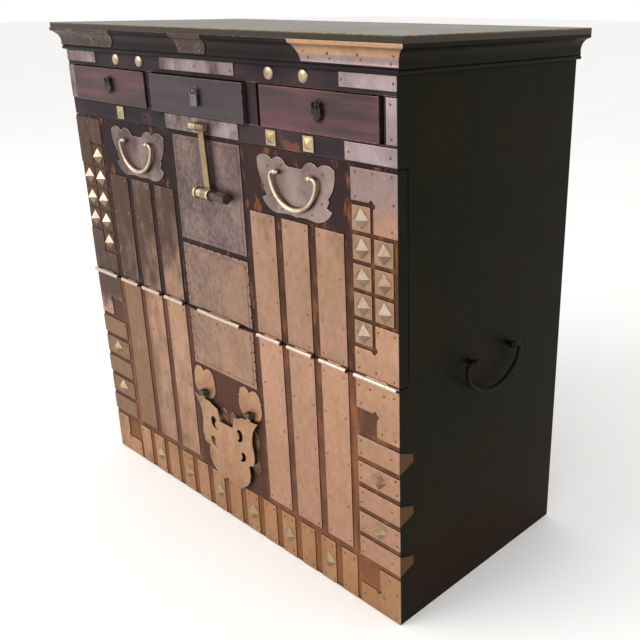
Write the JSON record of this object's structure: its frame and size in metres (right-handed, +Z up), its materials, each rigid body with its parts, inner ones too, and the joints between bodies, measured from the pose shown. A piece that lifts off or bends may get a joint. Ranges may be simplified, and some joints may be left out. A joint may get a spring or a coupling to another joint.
{
  "type": "bandaji chest",
  "caption": "Wooden blanket chest with a drop flap in its front, drawers above it, sheet brass straps, hinges and studs, bail handles, a hasp with a lock bolt and a swinging drop plate.",
  "frame": {"origin": "middle of the base, on the floor", "axes": "+Z up, -Y out of the front face, +X to the right of someone facing the front"},
  "size_m": [0.957, 0.4563, 0.94],
  "materials": {
    "wood_front": "worn dark lacquer",
    "wood_case": "aged dark lacquer",
    "wood_drawer": "red-brown lacquer",
    "wood_inside": "bare, unfinished",
    "brass_plate": "aged satin sheet",
    "brass_cast": "aged, rubbed bright",
    "iron": "dark forged"
  },
  "bodies": {
    "carcass": {"lower_front": "wood_front", "drawer_rail": "wood_front", "frieze_rail": "wood_front", "drawer_stiles": "wood_front", "cornice_front": "wood_front", "cornice_left": "wood_front", "cornice_right": "wood_front", "side_left": "wood_case", "side_right": "wood_case", "top_board": "wood_case", "back_panel": "wood_case", "bottom_board": "wood_inside", "dust_board": "wood_inside", "drawer_partitions": "wood_inside", "cornice_plates": "brass_plate", "frame_plates": "brass_plate", "lower_straps": "brass_plate", "lower_centre_leaf": "brass_plate", "lower_corner_leaves": "brass_plate", "side_straps": "brass_plate", "base_straps": "brass_plate", "base_corner_plates": "brass_plate", "drop_back_plates": "brass_plate", "frieze_studs": "brass_cast", "rail_studs": "brass_cast", "lower_studs": "brass_cast", "hasp_eye": "brass_cast", "hinge_pins": "iron", "drop_eyes": "iron", "side_handle_posts": "iron"},
    "flap": {"flap_board": "wood_front", "lock_plate": "brass_plate", "lock_barrel": "brass_cast", "flap_straps": "brass_plate", "flap_centre_leaf": "brass_plate", "flap_corner_leaves": "brass_plate", "flap_corner_plates": "brass_plate", "flap_stud_plates": "brass_plate", "flap_studs": "brass_cast", "handle_plates": "brass_plate", "handle_posts": "brass_cast"},
    "flap_handle_left": {"flap_handle_left": "brass_cast"},
    "flap_handle_right": {"flap_handle_right": "brass_cast"},
    "hasp": {"hasp": "brass_cast"},
    "lock_bolt": {"lock_bolt": "iron"},
    "side_handle_left": {"side_handle_left": "iron"},
    "side_handle_right": {"side_handle_right": "iron"},
    "drop_plate": {"drop_plate": "brass_plate"},
    "drawer_left": {"drawer_left_front": "wood_drawer", "drawer_left_box": "wood_inside", "pull_post_left": "iron"},
    "pull_left": {"pull_drop_left": "iron"},
    "drawer_centre": {"drawer_centre_front": "wood_drawer", "drawer_centre_box": "wood_inside", "pull_post_centre": "iron"},
    "pull_centre": {"pull_drop_centre": "iron"},
    "drawer_right": {"drawer_right_front": "wood_drawer", "drawer_right_box": "wood_inside", "pull_post_right": "iron"},
    "pull_right": {"pull_drop_right": "iron"}
  },
  "joints": [
    {"name": "flap_hinge", "type": "hinge", "parent": "carcass", "child": "flap", "pos_m": [0, -0.2209, 0.4356], "axis": [1, 0, 0], "range_deg": [0, 160]},
    {"name": "flap_handle_left_swing", "type": "hinge", "parent": "flap", "child": "flap_handle_left", "pos_m": [-0.2218, -0.2235, 0.7309], "axis": [-1, 0, 0], "range_deg": [0, 95]},
    {"name": "flap_handle_right_swing", "type": "hinge", "parent": "flap", "child": "flap_handle_right", "pos_m": [0.2342, -0.2235, 0.7309], "axis": [-1, 0, 0], "range_deg": [0, 95]},
    {"name": "hasp_swing", "type": "hinge", "parent": "flap", "child": "hasp", "pos_m": [0.011, -0.2295, 0.6691], "axis": [1, 0, 0], "range_deg": [0, 175]},
    {"name": "lock_bolt_slide", "type": "slide", "parent": "flap", "child": "lock_bolt", "axis": [1, 0, 0], "range_m": [0, 0.05]},
    {"name": "drop_plate_swing", "type": "hinge", "parent": "carcass", "child": "drop_plate", "pos_m": [0, -0.2245, 0.262], "axis": [1, 0, 0], "range_deg": [-95, 0]},
    {"name": "side_handle_left_swing", "type": "hinge", "parent": "carcass", "child": "side_handle_left", "pos_m": [-0.465, 0, 0.431], "axis": [0, 1, 0], "range_deg": [0, 95]},
    {"name": "side_handle_right_swing", "type": "hinge", "parent": "carcass", "child": "side_handle_right", "pos_m": [0.465, 0, 0.431], "axis": [0, -1, 0], "range_deg": [0, 95]},
    {"name": "drawer_left_slide", "type": "slide", "parent": "carcass", "child": "drawer_left", "axis": [0, -1, 0], "range_m": [-0.004, 0.3]},
    {"name": "pull_left_swing", "type": "hinge", "parent": "drawer_left", "child": "pull_left", "pos_m": [-0.28975, -0.2251, 0.84105], "axis": [-1, 0, 0], "range_deg": [0, 100]},
    {"name": "drawer_centre_slide", "type": "slide", "parent": "carcass", "child": "drawer_centre", "axis": [0, -1, 0], "range_m": [-0.009, 0.3]},
    {"name": "pull_centre_swing", "type": "hinge", "parent": "drawer_centre", "child": "pull_centre", "pos_m": [-0.001, -0.2301, 0.84105], "axis": [-1, 0, 0], "range_deg": [0, 100]},
    {"name": "drawer_right_slide", "type": "slide", "parent": "carcass", "child": "drawer_right", "axis": [0, -1, 0], "range_m": [-0.0015, 0.3]},
    {"name": "pull_right_swing", "type": "hinge", "parent": "drawer_right", "child": "pull_right", "pos_m": [0.29675, -0.2226, 0.84105], "axis": [-1, 0, 0], "range_deg": [0, 100]}
  ]
}
